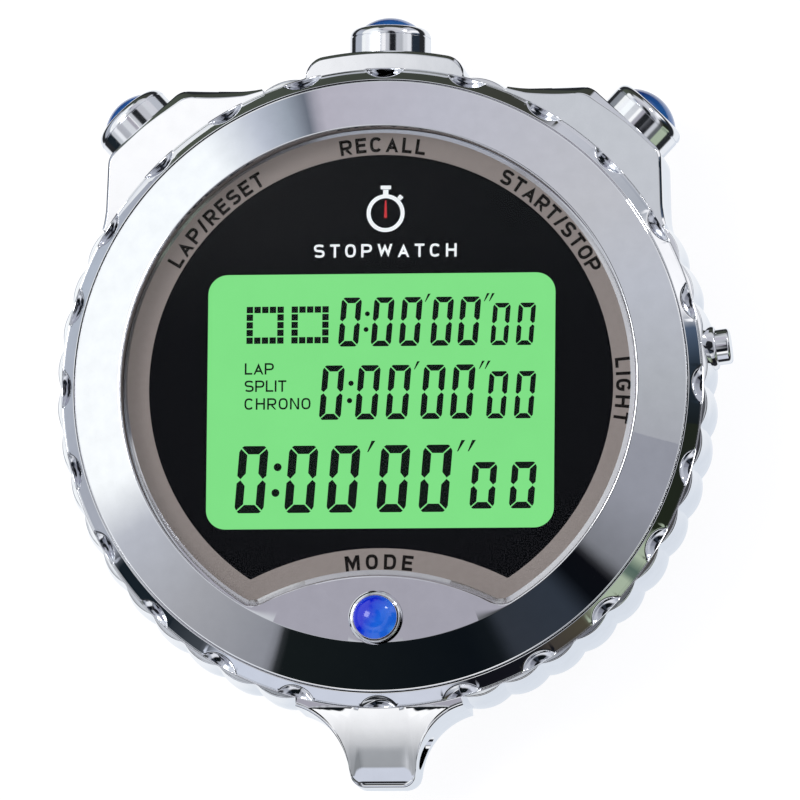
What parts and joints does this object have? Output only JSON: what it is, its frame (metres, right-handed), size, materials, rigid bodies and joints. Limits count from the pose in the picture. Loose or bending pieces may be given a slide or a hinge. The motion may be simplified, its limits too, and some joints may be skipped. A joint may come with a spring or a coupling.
{
  "type": "digital stopwatch",
  "caption": "Round metal digital stopwatch with rim pushers, a side light button, a mode button on the face, a liquid crystal display and a lanyard lug.",
  "frame": {"origin": "centre of the back cover's outer face, which the watch lies on", "axes": "+Z out of the display, +Y to 12 o'clock, +X to 3 o'clock and the light button"},
  "size_m": [0.0717, 0.0823, 0.0173],
  "materials": {
    "case_chrome": "polished chrome plate on zinc die casting",
    "bezel_chrome": "polished chrome plate",
    "pusher_chrome": "turned and chrome plated",
    "blue_jewel": "clear blue acrylic cabochon",
    "window": "clear polished acrylic",
    "black_print": "gloss black print",
    "taupe_print": "metallic taupe print",
    "display_green": "lit green display",
    "display_glass": "display glass",
    "white_plastic": "moulded white ABS",
    "ceramic": "silvered piezo ceramic",
    "light_guide": "clear acrylic light guide",
    "led": "moulded lamp body",
    "rubber": "nitrile rubber",
    "contact_rubber": "layered contact silicone",
    "board": "glass epoxy board",
    "epoxy": "black epoxy drop",
    "capacitor": "ceramic chip",
    "steel_back": "circular brushed stainless steel",
    "steel": "bright steel",
    "brass": "spring brass",
    "insulator": "polyester sheet"
  },
  "bodies": {
    "root": {"case_body": "case_chrome", "bezel": "bezel_chrome", "bezel_screws": "steel", "lens": "window", "lens_gasket": "rubber", "dial_panel": "black_print", "legend_ring": "taupe_print", "display_film": "display_green", "display_front_glass": "display_glass", "display_rear_glass": "display_glass", "display_reflector": "white_plastic", "light_guide": "light_guide", "backlight_led": "led", "zebra_strip": "contact_rubber", "movement_frame": "white_plastic", "circuit_board": "board", "frame_screws": "steel", "chip_cover": "epoxy", "quartz_crystal": "steel", "capacitors": "capacitor", "side_contacts": "brass", "mode_switch": "rubber", "battery": "steel", "battery_plus_contact": "brass", "battery_minus_contact": "brass", "piezo_disc": "brass", "piezo_ceramic": "ceramic", "buzzer_springs": "steel", "insulator_sheet": "insulator", "back_cover": "steel_back", "back_gasket": "rubber", "back_screws": "steel", "mode_collar": "bezel_chrome", "light_bushing": "pusher_chrome", "lap_spring": "steel", "recall_spring": "steel", "start_spring": "steel", "mode_spring": "steel", "light_spring": "steel"},
    "lap_pusher": {"lap_cap": "pusher_chrome", "lap_jewel": "blue_jewel", "lap_seal": "rubber", "lap_clip": "steel"},
    "recall_pusher": {"recall_cap": "pusher_chrome", "recall_jewel": "blue_jewel", "recall_seal": "rubber", "recall_clip": "steel"},
    "start_pusher": {"start_cap": "pusher_chrome", "start_jewel": "blue_jewel", "start_seal": "rubber", "start_clip": "steel"},
    "mode_button": {"mode_cap": "pusher_chrome", "mode_jewel": "blue_jewel", "mode_clip": "steel"},
    "light_button": {"light_cap": "pusher_chrome", "light_seal": "rubber", "light_clip": "steel"}
  },
  "joints": [
    {"name": "lap_press", "type": "slide", "parent": "root", "child": "lap_pusher", "axis": [0.682, -0.7314, 0], "range_m": [0, 0.0012], "stiffness_N_per_m": 600, "deforming": ["lap_spring"]},
    {"name": "recall_press", "type": "slide", "parent": "root", "child": "recall_pusher", "axis": [0, -1, 0], "range_m": [0, 0.0012], "stiffness_N_per_m": 600, "deforming": ["recall_spring"]},
    {"name": "start_press", "type": "slide", "parent": "root", "child": "start_pusher", "axis": [-0.682, -0.7314, 0], "range_m": [0, 0.0012], "stiffness_N_per_m": 600, "deforming": ["start_spring"]},
    {"name": "light_press", "type": "slide", "parent": "root", "child": "light_button", "axis": [-0.9914, -0.1305, 0], "range_m": [0, 0.0008], "stiffness_N_per_m": 500, "deforming": ["light_spring"]},
    {"name": "mode_press", "type": "slide", "parent": "root", "child": "mode_button", "axis": [0, 0, -1], "range_m": [0, 0.0008], "stiffness_N_per_m": 500, "deforming": ["mode_spring"]}
  ]
}
